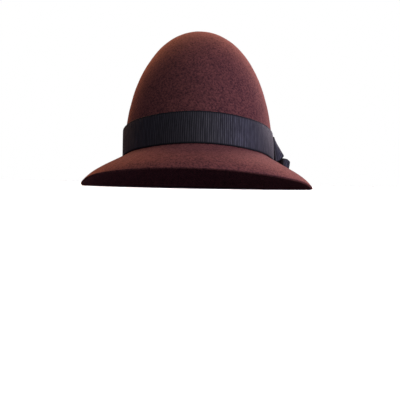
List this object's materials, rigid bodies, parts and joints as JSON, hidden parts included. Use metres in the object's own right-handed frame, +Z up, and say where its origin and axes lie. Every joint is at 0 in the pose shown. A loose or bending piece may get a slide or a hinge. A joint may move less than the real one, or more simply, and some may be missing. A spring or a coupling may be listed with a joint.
{
  "type": "felt hat with ribbon band and side bow",
  "caption": "Felt hat with a tall egg-shaped hollow crown, a turned-down brim lifted at the front, a ribbed ribbon band and a side bow, worn on the head and resting on its rim.",
  "frame": {"origin": "on the surface that the rim rests on, under the middle of the crown", "axes": "+Z up through the crown's tip, -Y towards the front of the hat, +X towards the wearer's left, where the bow is"},
  "size_m": [0.2589, 0.2914, 0.1745],
  "materials": {
    "felt": "brown wool felt with a short soft nap",
    "ribbon": "black ribbed grosgrain ribbon"
  },
  "bodies": {
    "root": {"felt_body": "felt", "ribbon_band": "ribbon", "bow_loop_front": "ribbon", "bow_loop_back": "ribbon", "bow_knot": "ribbon", "bow_tail_front": "ribbon", "bow_tail_back": "ribbon"}
  },
  "joints": []
}
